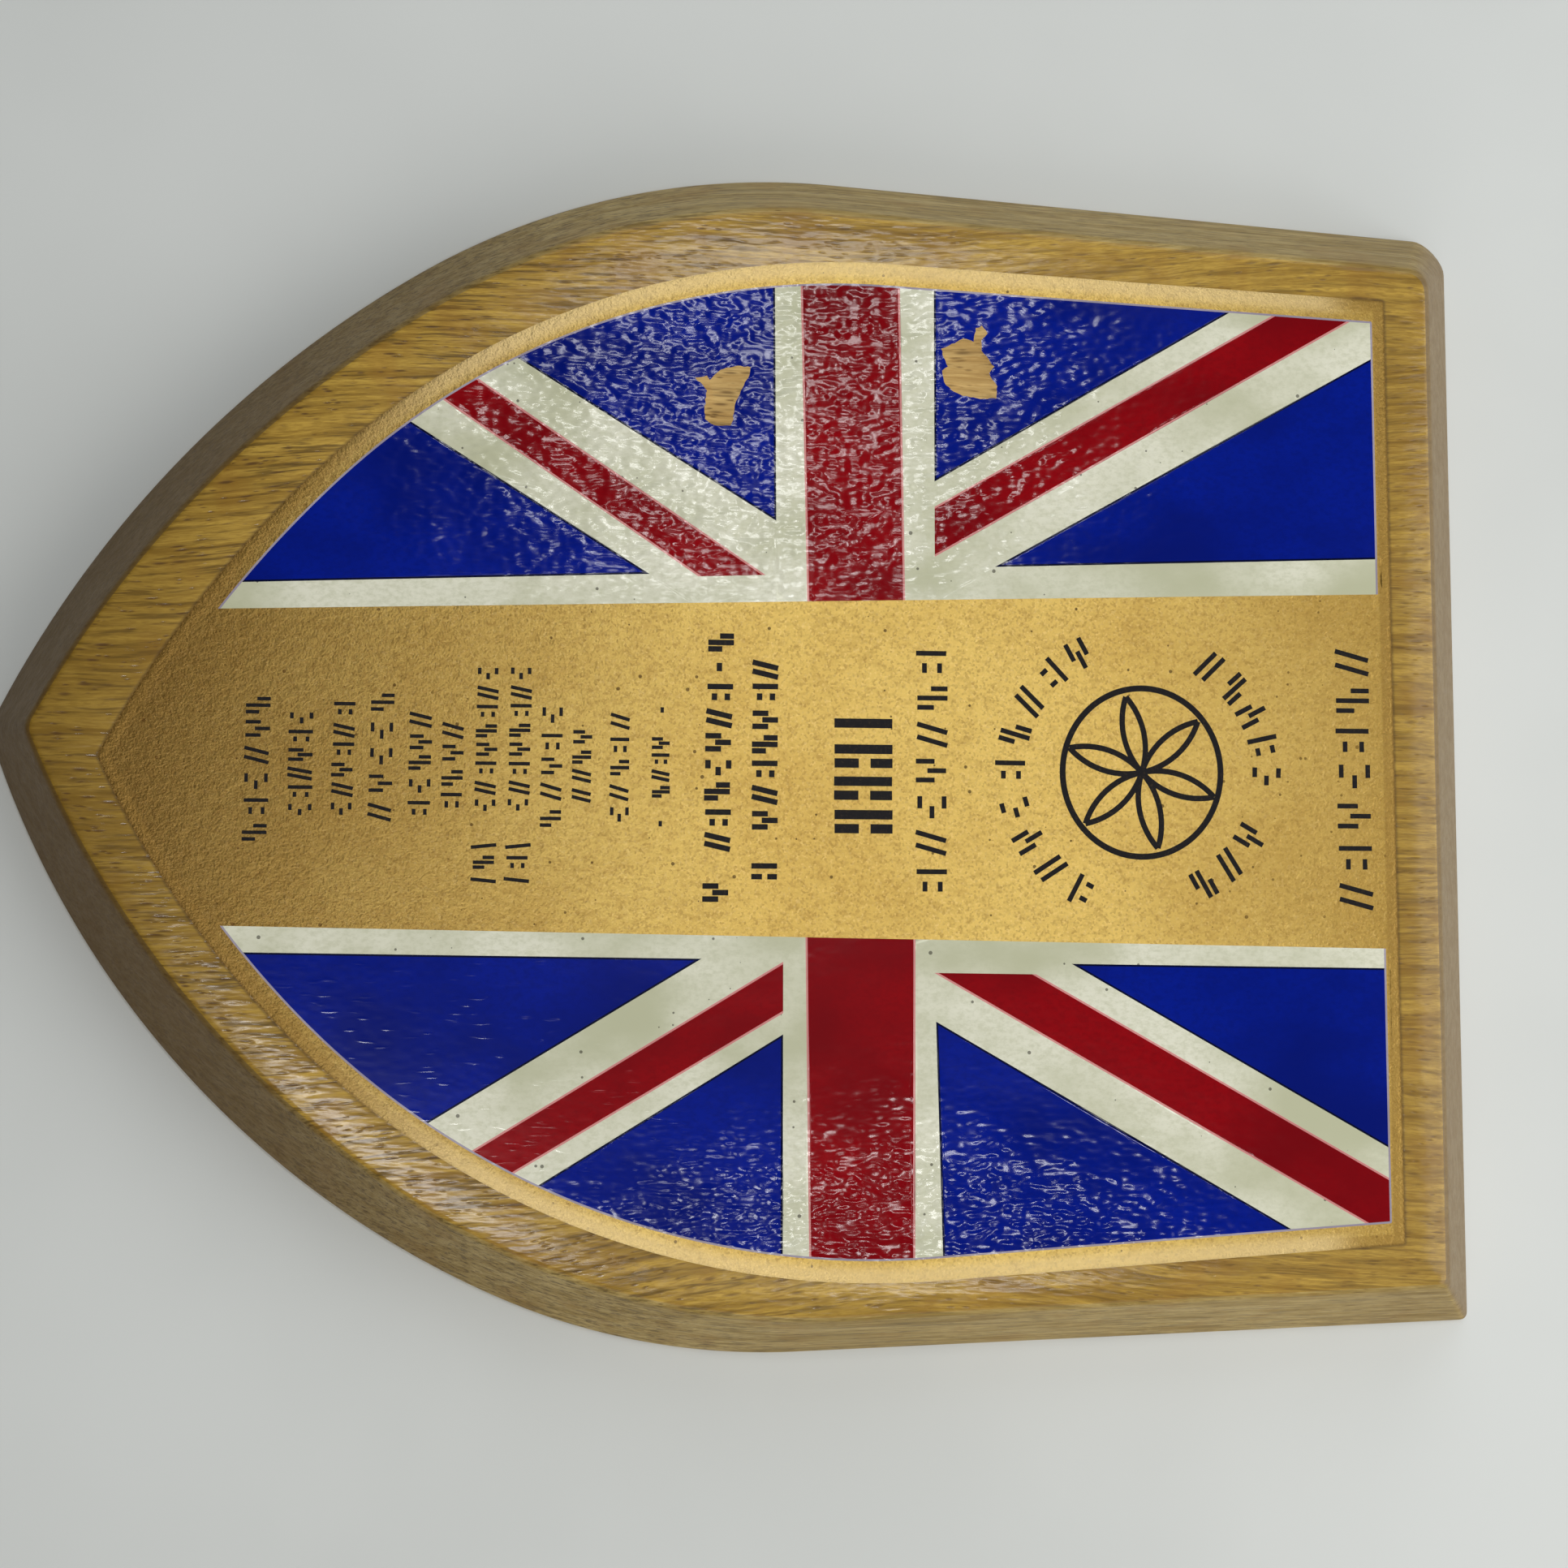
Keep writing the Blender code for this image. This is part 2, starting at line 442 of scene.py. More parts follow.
def arc_bars(radius, first, last, kinds, rng):
    """The bars of marks set round the ring, their feet towards its middle for radius > 0."""
    bars = []
    for i, kind in enumerate(kinds):
        if kind == " ":
            continue
        angle = math.radians(first + (last - first) * i / (len(kinds) - 1) + rng.uniform(-0.8, 0.8))
        out = np.array((math.sin(angle), math.cos(angle)))
        side = np.array((out[1], -out[0]))

        def placed(x, z):
            across = (x - 0.5) * ARC_MARK_WIDTH
            rise = radius + (z - 0.5) * ARC_MARK_HEIGHT
            return np.array(RING_CENTRE) + out * rise + side * across

        bars += mark_bars(kind, placed, ARC_MARK_WEIGHT)
    return bars


def curved_band(points, width):
    """A band of even width along a run of points."""
    points = np.array(points)
    along = np.gradient(points, axis=0)
    along /= np.linalg.norm(along, axis=1)[:, None]
    across = np.stack((-along[:, 1], along[:, 0]), axis=1) * 0.5 * width
    return list(points + across) + list((points - across)[::-1])


def rosette_bands():
    """A compass-drawn six-petal rosette inside the ring."""
    bands = []
    centre = np.array(RING_CENTRE)
    reach = RING_RADII[1] - RING_LINE
    for k in range(PETALS):
        start = math.radians(360 // PETALS * k + ROSETTE_TURN)
        middle = centre + reach * unit(start)
        low = start + math.radians(120)
        run = arc(middle, reach, low, low + math.radians(120), PETAL_STEPS)
        bands.append(curved_band(run, PETAL_LINE))
    return bands


def ring_edge(wide, high):
    """Points round the ring at one radius across and one up."""
    turns = [2 * math.pi * i / RING_STEPS for i in range(RING_STEPS)]
    return [np.array(RING_CENTRE) + (wide * math.cos(turn), high * math.sin(turn)) for turn in turns]


def signed_area(points):
    """Area of a closed run of points, positive when it turns anticlockwise."""
    pairs = zip(points, list(points[1:]) + [points[0]])
    return 0.5 * sum(ax * bz - bx * az for (ax, az), (bx, bz) in pairs)


# The face's mesh, in millimetres.
# The offsets are of extra edges outside and inside the edge of the gold panel.
RIM_OFFSETS = (1.5, 1.15, 0.8, 0.5, 0.28, 0.14, -0.14, -0.3, -0.5, -0.75, -1.05, -1.4)
GRID = 0.75             # spacing of the points between the drawn edges
GRID_JITTER = 0.2
GRID_REACH = (56, 72)   # half the width and half the height that the points cover
RIDGE_GAP = 0.5         # how far the points stay from the ridge
HAIRLINE = 0.20         # width of the fringes where one colour of print meets the next
OVERLAP = 0.45          # how far the drawn bands run on under the gold round the flags
FLAKE_STEP = 0.35       # length of the pieces that a flake's edge is broken into
NEARNESS = 1e-5         # points closer than this become one
RIM_REACH = 4.0         # how far from the edge of the gold panel its distance is told
ALL_TRIANGLES = 0       # the kind of triangulation
GRID_SEED = 11
FLAKE_SEED = 5
MARK_SEED = 3


class Layout:
    """Everything drawn on the face, gathered for one triangulation."""

    def __init__(self):
        self.points = []
        self.edges = []
        self.regions = []
        self.names = []
        flags = outline(FLAGS)
        self.frame = flags + OVERLAP * outward_normals(flags)

    def loop(self, points, name=None):
        """A closed run of points: a region where it has a name, and bare edges where it has none."""
        start = len(self.points)
        count = len(points)
        self.points += [tuple(map(float, p)) for p in points]
        if name is None:
            self.edges += [(start + i, start + (i + 1) % count) for i in range(count)]
        else:
            turn = 1 if signed_area(points) > 0 else -1
            self.regions.append([start + i for i in range(count)][::turn])
            self.names.append(name)

    def print_loop(self, points, name):
        """A region of the print, cut off just outside the flags."""
        self.loop(clipped(points, self.frame), name)

    def dots(self, points):
        """Single points, which only make the mesh finer."""
        self.points += [tuple(map(float, p)) for p in points]


def draw_face(ridge, gilt):
    """The layout of the whole face. Its first loop is the ridge, which the border joins."""
    layout = Layout()
    layout.loop(ridge, "face")
    layout.loop(gilt, "gilt")
    normals = outward_normals(gilt)
    for offset in RIM_OFFSETS:
        layout.loop(gilt + offset * normals)
    flags = outline(FLAGS)
    layout.loop(flags, "flags")
    layout.loop(flags - HAIRLINE * outward_normals(flags), "print")
    for hand in "LR":
        side = [far_end(STRIP[hand][::-1]), far_end(STRIP[hand])]
        edge = -FAR if hand == "L" else FAR
        layout.print_loop(side + [(edge, FAR), (edge, -FAR)], "half")
        layout.print_loop(strip_band(STRIP[hand], STRIP_WHITE[hand]), "white")
        layout.print_loop(strip_band(*spread((STRIP[hand], STRIP_WHITE[hand]), HAIRLINE)), "seam")
        draw_band(layout, BAR_RED[hand], STRIP[hand], "red", "blush")
        draw_band(layout, BAR_WHITE[hand], STRIP[hand], "white", "seam")
    for name, bands in DIAGONALS.items():
        draw_band(layout, bands["white"], STRIP[name[0]], "white", "seam")
        draw_band(layout, bands["red"], bands["cut"], "red", "blush")
    for chip in CHIPS:
        layout.loop(roughened(chip), "chip")
    draw_ink(layout)
    rng = np.random.default_rng(GRID_SEED)
    xs, zs = (np.arange(-reach, reach + 1, GRID) for reach in GRID_REACH)
    grid = np.stack(np.meshgrid(xs, zs), axis=-1).reshape(-1, 2)
    grid += rng.uniform(-GRID_JITTER, GRID_JITTER, grid.shape)
    keep = (distance_to(ridge, grid) < -RIDGE_GAP) & (np.abs(distance_to(gilt, grid)) > RIM_OFFSETS[0])
    layout.dots(grid[keep])
    return layout


def draw_band(layout, edges, start, name, fringe):
    """A band with a hairline fringe along both its edges."""
    layout.print_loop(band(edges, start), name)
    layout.print_loop(band(spread(edges, HAIRLINE), start), fringe)


def roughened(points):
    """A flake's outline with its edges broken up finely."""
    rng = random.Random(FLAKE_SEED)
    ragged = []
    for (ax, az), (bx, bz) in zip(points, points[1:] + points[:1]):
        pieces = max(1, round(math.hypot(bx - ax, bz - az) / FLAKE_STEP))
        for i in range(pieces):
            jitter = 0.07 if i else 0.03
            ragged.append((ax + (bx - ax) * i / pieces + rng.uniform(-jitter, jitter),
                           az + (bz - az) * i / pieces + rng.uniform(-jitter, jitter)))
    return ragged


def draw_ink(layout):
    """The rows of print marks, the marks round the ring, and the ring with its rosette."""
    rng = random.Random(MARK_SEED)
    bars = []
    for row in ROWS:
        bars += row_bars(row, rng)
    for radius, first, last, kinds in ARCS:
        bars += arc_bars(radius, first, last, kinds, rng)
    for bar in bars + rosette_bands():
        layout.loop(bar, "ink")
    wide, high = RING_RADII
    layout.loop(ring_edge(wide, high), "disc")
    layout.loop(ring_edge(wide - RING_LINE, high - RING_LINE), "well")


def region_of(names):
    """The finish of a piece of the face from the names of everything that covers it."""
    if "ink" in names or ("disc" in names and "well" not in names):
        return "ink"
    if "flags" in names and "half" in names:
        if "chip" in names:
            return "bare"
        if "print" not in names:
            return "undercoat"
        if "red" in names:
            return "red"
        if "white" in names:
            return "blush" if "blush" in names else "white"
        return "navy" if "seam" in names else "blue"
    return "gold" if "gilt" in names else "wood"


# The varnish over the print. Each place is (x, z, half width, half height) in millimetres.
WRINKLED = ((-34.0, 1.0, 20.0, 38.0), (52.0, 14.0, 15.0, 36.0))     # where it is wrinkled most
STREAKED = ((36.0, -30.0, 15.0, 24.0), (48.0, 10.0, 8.0, 36.0))     # where it also shows dashes
CALM = 0.06             # how much of the wrinkling the rest of the print has
WAVE_COUNT = 10         # waves that add up to an uneven edge of such a place


def smooth(low, high, value):
    """A soft step from 0 at low to 1 at high."""
    share = np.clip((value - low) / (high - low), 0, 1)
    return share * share * (3 - 2 * share)


def waves(points, seed, size):
    """Gentle unevenness from -1 to 1 with bumps of about this size."""
    rng = np.random.default_rng(seed)
    total = np.zeros(len(points))
    for _ in range(WAVE_COUNT):
        turn = rng.uniform(0, 2 * math.pi)
        stretch = rng.uniform(0.7, 1.6) * 2 * math.pi / size
        along = points[:, 0] * math.cos(turn) + points[:, 1] * math.sin(turn)
        total += np.sin(along * stretch + rng.uniform(0, 2 * math.pi))
    return total / WAVE_COUNT


def crease_share(height):
    """How deep the groove round the panel is: full at the point and the top, faint down the sides."""
    return 0.15 + 0.85 * np.maximum(smooth(-25.0, -46.0, height), smooth(58.0, 63.0, height))


def sink(points, rim, ridge, chip):
    """How far the face lies below the front plane, in millimetres."""
    across = np.clip(-ridge / np.maximum(rim - ridge, 1e-6), 0, 1)
    depth = CROWN * np.where(rim > 0, (1 - across) ** 2, 0.0)
    depth += PANEL_DEPTH * smooth(3.0, 0.2, rim)
    depth += GROOVE_DEPTH * np.exp(-(rim / GROOVE_WIDTH) ** 2) * crease_share(points[:, 1])
    depth += PRINT_DEPTH * smooth(-0.8, -1.3, rim)
    return depth + CHIP_DEPTH * smooth(0.02, -0.1, chip)


def patchy(points, places, calm):
    """Share from calm to 1 near the listed places, uneven as brushed varnish is."""
    share = np.zeros(len(points))
    for x, z, wide, high in places:
        reach = np.hypot((points[:, 0] - x) / wide, (points[:, 1] - z) / high)
        share = np.maximum(share, smooth(1.35, 0.55, reach + 0.22 * waves(points, seed=8, size=12.0)))
    return calm + (1 - calm) * share


def border_profile():
    """Section of the border as (share of the way in, height), with extra rings beside the eased edges."""
    slant = math.hypot(BORDER_WIDTH, THICKNESS)
    foot = np.array((0.0, 0.0))
    ridge = np.array((1.0, THICKNESS - CROWN))
    back_start = np.array((BACK_EASE / BORDER_WIDTH, 0.0))
    back_end = foot + (ridge - foot) * BACK_EASE / slant
    ridge_start = ridge + (foot - ridge) * RIDGE_EASE / slant
    ridge_end = np.array((1.0 + RIDGE_EASE / BORDER_WIDTH, THICKNESS - CROWN))
    run = blend(back_start, foot, back_end, BACK_EASE_STEPS)
    run += line(back_end, ridge_start, BORDER_STEPS)[1:-1]
    run += blend(ridge_start, ridge, ridge_end, RIDGE_EASE_STEPS)
    return run


def border_rings(base, face):
    """Points of the border, ring by ring from the back's outline in to the ridge."""
    rings = []
    for share, height in border_profile():
        ring = base + (face - base) * share
        rings.append(np.column_stack((ring[:, 0], np.full(len(ring), -height), ring[:, 1])))
    return rings


def joined_points(origin, count):
    """For each point of the first loop, the point of the triangulation that it became."""
    joined = [0] * count
    for index, sources in enumerate(origin):
        for source in sources:
            if source < count:
                joined[source] = index
    return joined


def add_value(mesh, name, values):
    """A number at each point of the mesh, for the materials to read."""
    attribute = mesh.attributes.new(name, "FLOAT", "POINT")
    attribute.data.foreach_set("value", values.astype(np.float32))


def build_shield(materials):
    """The plaque as one closed mesh: a flat back, the border, and the face divided as it is drawn."""
    base = outline(BASE)
    gilt = outline(GILT)
    rings = border_rings(base, outline(FACE))
    ridge = rings[-1][:, [0, 2]]
    layout = draw_face(ridge, gilt)
    points, _, faces, origin, _, owners = delaunay_2d_cdt(
        [Vector(p) for p in layout.points], layout.edges, layout.regions, ALL_TRIANGLES, NEARNESS, True)
    flat = np.array([tuple(p) for p in points])
    kept = [i for i, owner in enumerate(owners) if 0 in owner]
    flakes = [distance_to(np.array(roughened(chip)), flat) for chip in CHIPS]
    depth = sink(flat, distance_to(gilt, flat), distance_to(ridge, flat), np.minimum(*flakes))
    count = len(base)
    joined = joined_points(origin, count)
    depth[joined] = CROWN
    used = sorted({v for i in kept for v in faces[i]} | set(joined))
    offset = count * (len(rings) - 1)
    place = {v: offset + k for k, v in enumerate(used)}
    surface = np.column_stack((flat[used, 0], depth[used] - THICKNESS, flat[used, 1]))
    verts = np.concatenate(rings[:-1] + [surface])
    polygons = [list(range(count))]
    finishes = ["wood"]
    levels = len(rings) - 1
    for level in range(levels):
        for i in range(count):
            j = (i + 1) % count
            lower = [level * count + i, level * count + j]
            if level < levels - 1:
                upper = [v + count for v in lower]
            else:
                upper = [place[joined[i]], place[joined[j]]]
            polygons.append([lower[1], lower[0], upper[0], upper[1]])
            finishes.append("border" if level < levels - WOOD_LEVELS else "wood")
    for i in kept:
        polygons.append([place[v] for v in faces[i]])
        finishes.append(region_of({layout.names[k] for k in owners[i]}))
    mesh = bpy.data.meshes.new("shield_body")
    mesh.from_pydata((verts * MM).tolist(), [], polygons)
    for material in materials.values():
        mesh.materials.append(material)
    slots = {name: i for i, name in enumerate(materials)}
    mesh.polygons.foreach_set("material_index", [slots[name] for name in finishes])
    mesh.polygons.foreach_set("use_smooth", [False] + [True] * (len(polygons) - 1))
    all_points = verts[:, [0, 2]]
    add_value(mesh, "rim", np.clip(distance_to(gilt, all_points), -RIM_REACH, RIM_REACH))
    # How far each wall faces up or down the shield: the border wood reads it for end grain and for painted
    # shade on the walls facing the point.
    turned = outward_normals(base)[:, 1]
    ends = np.zeros(len(verts))
    ends[:offset] = np.tile(turned, len(rings) - 1)
    ends[[place[v] for v in joined]] = turned
    add_value(mesh, "end", ends)
    add_value(mesh, "wrinkle", patchy(all_points, WRINKLED, CALM))
    add_value(mesh, "streak", patchy(all_points, STREAKED, 0.0))
    # The groove's share also places painted shade along the groove and a painted highlight down the gold's
    # sides.
    add_value(mesh, "crease", crease_share(all_points[:, 1]))
    mesh.update()
    return mesh


# The colour sockets of a Mix node, which has sockets of the same names for other kinds of value.
MIX_FIRST = 6
MIX_SECOND = 7
MIX_RESULT = 2

# How high the fine relief of each finish is, in millimetres.
WOOD_RELIEF = 0.042
BORDER_RELIEF = 0.03
PAINT_RELIEF = 0.18
GOLD_RELIEF = 0.085
INK_RELIEF = 0.05


class Graph:
    """Short calls for building a material's nodes."""

    def __init__(self, name):
        self.material = bpy.data.materials.new(name)
        self.material.use_nodes = True
        self.tree = self.material.node_tree
        self.shader = self.tree.nodes["Principled BSDF"]
        texture = self.add("ShaderNodeTexCoord")
        self.place = self.vector("MULTIPLY", texture.outputs["Object"], (1 / MM, 1 / MM, 1 / MM))

    def add(self, kind, **settings):
        """A new node with these settings."""
        node = self.tree.nodes.new(kind)
        for key, value in settings.items():
            setattr(node, key, value)
        return node

    def feed(self, socket, value):
        """Link an output to the socket, or set its own value."""
        if isinstance(value, bpy.types.NodeSocket):
            self.tree.links.new(value, socket)
        else:
            socket.default_value = value

    def math(self, operation, *values):
        node = self.add("ShaderNodeMath", operation=operation)
        for socket, value in zip(node.inputs, values):
            self.feed(socket, value)
        return node.outputs[0]

    def times(self, first, second):
        return self.math("MULTIPLY", first, second)

    def vector(self, operation, first, second):
        node = self.add("ShaderNodeVectorMath", operation=operation)
        self.feed(node.inputs[0], first)
        self.feed(node.inputs[1], second)
        return node.outputs[0]

    def scaled(self, x, y, z):
        """The place in millimetres, times these: a pattern's cells to a millimetre along each axis."""
        return self.vector("MULTIPLY", self.place, (x, y, z))

    def noise(self, place, detail=3.0, rough=0.5):
        node = self.add("ShaderNodeTexNoise")
        self.feed(node.inputs["Vector"], place)
        node.inputs["Scale"].default_value = 1.0
        node.inputs["Detail"].default_value = detail
        node.inputs["Roughness"].default_value = rough
        return node.outputs["Fac"]

    def cells(self, place):
        node = self.add("ShaderNodeTexVoronoi")
        self.feed(node.inputs["Vector"], place)
        node.inputs["Scale"].default_value = 1.0
        return node

    def value(self, name):
        """A number that build_shield gave each point of the mesh."""
        return self.add("ShaderNodeAttribute", attribute_name=name).outputs["Fac"]

    def ramp(self, value, low, high, bottom=0.0, top=1.0, smooth=True):
        """A step from bottom to top while the value runs from low to high."""
        node = self.add("ShaderNodeMapRange", clamp=True)
        node.interpolation_type = "SMOOTHSTEP" if smooth else "LINEAR"
        self.feed(node.inputs["Value"], value)
        for key, number in (("From Min", low), ("From Max", high), ("To Min", bottom), ("To Max", top)):
            node.inputs[key].default_value = number
        return node.outputs["Result"]

    def mix(self, share, first, second):
        """The first colour where the share is 0, and the second where it is 1."""
        node = self.add("ShaderNodeMix", data_type="RGBA")
        self.feed(node.inputs["Factor"], share)
        self.feed(node.inputs[MIX_FIRST], first)
        self.feed(node.inputs[MIX_SECOND], second)
        return node.outputs[MIX_RESULT]

    def tint(self, tone, value, low, high, share, color, smooth=True):
        """Mix in up to this share of a colour while the value runs from low to high."""
        return self.mix(self.ramp(value, low, high, 0.0, share, smooth), tone, color)

    def bump(self, height, distance):
        """Relief whose height runs from 0 to 1 over this distance in millimetres."""
        node = self.add("ShaderNodeBump")
        node.inputs["Strength"].default_value = 1.0
        node.inputs["Distance"].default_value = distance * MM
        self.feed(node.inputs["Height"], height)
        self.feed(self.shader.inputs["Normal"], node.outputs["Normal"])
        self.feed(self.shader.inputs["Coat Normal"], node.outputs["Normal"])

    def finish(self, color, roughness, metallic=0.0, coat=0.0, coat_roughness=0.1, specular=0.5):
        self.feed(self.shader.inputs["Base Color"], color)
        self.feed(self.shader.inputs["Roughness"], roughness)
        self.feed(self.shader.inputs["Metallic"], metallic)
        self.shader.inputs["Coat Weight"].default_value = coat
        self.shader.inputs["Coat Roughness"].default_value = coat_roughness
        self.shader.inputs["Specular IOR Level"].default_value = specular
        return self.material


def srgb(red, green, blue):
    """A colour given as 0 to 255 screen values."""
    def linear(channel):
        channel /= 255
        return channel / 12.92 if channel <= 0.04045 else ((channel + 0.055) / 1.055) ** 2.4
    return (linear(red), linear(green), linear(blue), 1.0)


def split(graph, color):
    """The red and green channels of a cell's colour, as two chances from 0 to 1."""
    node = graph.add("ShaderNodeSeparateColor")
    graph.feed(node.inputs[0], color)
    return node.outputs[0], node.outputs[1]


def pore_layer(graph, place, across, along, share, streaks):
    """Short dark dashes along the grain, with cells this many to a millimetre across and along."""
    cell = graph.cells(graph.vector("MULTIPLY", place, (across, across, along)))
    chance, depth = split(graph, cell.outputs["Color"])
    size = graph.math("MULTIPLY_ADD", depth, 0.20, 0.16)
    spot = graph.ramp(graph.math("DIVIDE", cell.outputs["Distance"], size), 1.4, 0.3)
    crowd = graph.math("ADD", chance, graph.ramp(streaks, 0.35, 0.65, -0.22, 0.22))
    few = graph.ramp(crowd, 1.0 - share, 1.0 - share + 0.04)
    return graph.times(graph.times(spot, few), graph.ramp(depth, 0.0, 1.0, 0.45, 1.0))


def upright(graph):
    """Height up the shield in millimetres, from its middle."""
    node = graph.add("ShaderNodeSeparateXYZ")
    graph.feed(node.inputs[0], graph.place)
    return node.outputs[2]


def grain(graph):
    """Wood figure: broad streaks, fine fibres and open pores, all running up the shield."""
    bend = graph.noise(graph.scaled(0.03, 0.03, 0.015), detail=1.0)
    waver = graph.noise(graph.scaled(0.30, 0.30, 0.07), detail=2.0)
    sway = graph.add("ShaderNodeCombineXYZ")
    shift = graph.math("ADD", graph.times(bend, 14.0), graph.times(waver, 0.9))
    graph.feed(sway.inputs[0], shift)
    place = graph.vector("ADD", graph.place, sway.outputs[0])
    streaks = graph.noise(graph.vector("MULTIPLY", place, (0.85, 0.85, 0.036)), detail=4.0, rough=0.65)
    lines = graph.noise(graph.vector("MULTIPLY", place, (2.4, 2.4, 0.12)), detail=3.0, rough=0.65)
    fibres = graph.noise(graph.vector("MULTIPLY", place, (7.5, 7.5, 0.9)), detail=2.0)
    long_pores = pore_layer(graph, place, 2.4, 0.42, 0.44, lines)
    short_pores = pore_layer(graph, graph.vector("ADD", place, (3.3, 1.7, 0.9)), 3.4, 0.80, 0.28, streaks)
    pores = graph.math("MAXIMUM", long_pores, short_pores)
    return streaks, lines, fibres, pores


def wood_material(name, light, dark, coat, coat_roughness, relief=WOOD_RELIEF):
    """Open-grained wood, darkened towards the point as painted shade and darker towards the top."""
    graph = Graph(name)
    streaks, lines, fibres, pores = grain(graph)
    tone = graph.mix(graph.ramp(streaks, 0.30, 0.70), light, dark)
    deep = tuple(0.38 * c for c in dark[:3]) + (1.0,)
    pale = tuple(min(1.0, 1.22 * c) for c in light[:3]) + (1.0,)
    rust = (dark[0] * 1.05, dark[1] * 0.86, dark[2] * 0.6, 1.0)
    up = upright(graph)
    strength = graph.ramp(up, 30.0, -30.0, 0.50, 0.85)
    tone = graph.mix(graph.times(graph.ramp(lines, 0.50, 0.64), strength), tone, deep)
    tone = graph.tint(tone, lines, 0.46, 0.34, 0.50, pale)
    tone = graph.tint(tone, fibres, 0.45, 0.62, 0.42, dark)
    clouds = graph.noise(graph.scaled(0.16, 0.16, 0.20), detail=2.0)
    tone = graph.tint(tone, clouds, 0.52, 0.70, 0.3, rust)
    # painted shade: the wood is darkened towards the point, where less light falls
    tone = graph.tint(tone, up, -40.0, -76.0, 0.66, srgb(112, 83, 10))
    tone = graph.tint(tone, up, 58.0, 68.0, 0.22, srgb(120, 90, 22))
    tone = graph.mix(graph.times(pores, strength), tone, srgb(84, 54, 14))
    if name == "border_wood":
        end = graph.value("end")
        # Walls facing the top are tinted greyer. Walls facing the point are tinted dark brown: end grain,
        # and partly painted shade on walls that get little light.
        tone = graph.tint(tone, end, 0.25, 0.95, 0.75, srgb(118, 98, 72))
        tone = graph.tint(tone, end, -0.25, -0.75, 0.72, srgb(96, 69, 28))
    if name == "varnished_wood":
        # painted shade: a dark line along the groove round the gold panel, strongest at the point and the
        # top
        rim = graph.value("rim")
        crease = graph.ramp(graph.math("ABSOLUTE", rim), 0.34, 0.0, 0.0, 0.55)
        tone = graph.mix(graph.times(crease, graph.value("crease")), tone, srgb(70, 48, 15))
    height = graph.math("SUBTRACT", graph.times(fibres, 0.10), graph.times(pores, 0.35))
    ripples = graph.noise(graph.scaled(1.9, 1.9, 0.45), detail=1.0, rough=0.35)
    graph.bump(graph.math("ADD", height, ripples), relief)
    rough = graph.ramp(streaks, 0.3, 0.7, 0.50, 0.62)
    return graph.finish(tone, rough, coat=coat, coat_roughness=coat_roughness, specular=0.25)


def crinkle(graph):
    """The wrinkled varnish over the print, which also shows the grain beneath."""
    wide = graph.noise(graph.scaled(0.50, 0.50, 0.26), detail=0.0)
    fine = graph.noise(graph.scaled(1.60, 1.60, 0.90), detail=0.0)
    height = graph.math("ADD", wide, graph.times(fine, 0.80))
    height = graph.times(height, graph.value("wrinkle"))
    dashes = graph.ramp(graph.noise(graph.scaled(2.6, 2.6, 0.50), detail=0.0), 0.68, 0.90, 0.0, 0.055)
    return graph.math("ADD", height, graph.times(dashes, graph.value("streak")))


def specks(graph, amount=0.35):
    """Small dark specks of dirt."""
    dot = graph.cells(graph.scaled(0.8, 0.8, 0.8))
    chance, _ = split(graph, dot.outputs["Color"])
    size = graph.ramp(chance, 1.0 - amount, 1.0, 0.0, 0.16, smooth=False)
    return graph.math("LESS_THAN", dot.outputs["Distance"], size)


def paint_material(name, color, shade, dirt=0.0):
    """Screen-printed paint under the wrinkled varnish."""
    graph = Graph(name)
    patches = graph.noise(graph.scaled(0.09, 0.09, 0.06), detail=3.0)
    tone = graph.mix(graph.ramp(patches, 0.35, 0.7), color, shade)
    mottle = graph.noise(graph.scaled(2.6, 2.6, 1.6), detail=3.0, rough=0.6)
    tone = graph.tint(tone, mottle, 0.35, 0.75, 0.5, shade)
    if dirt:
        tone = graph.mix(graph.times(specks(graph), dirt), tone, srgb(40, 34, 24))
    graph.bump(crinkle(graph), PAINT_RELIEF)
    return graph.finish(tone, 0.6, coat=0.72, coat_roughness=0.135, specular=0.0)


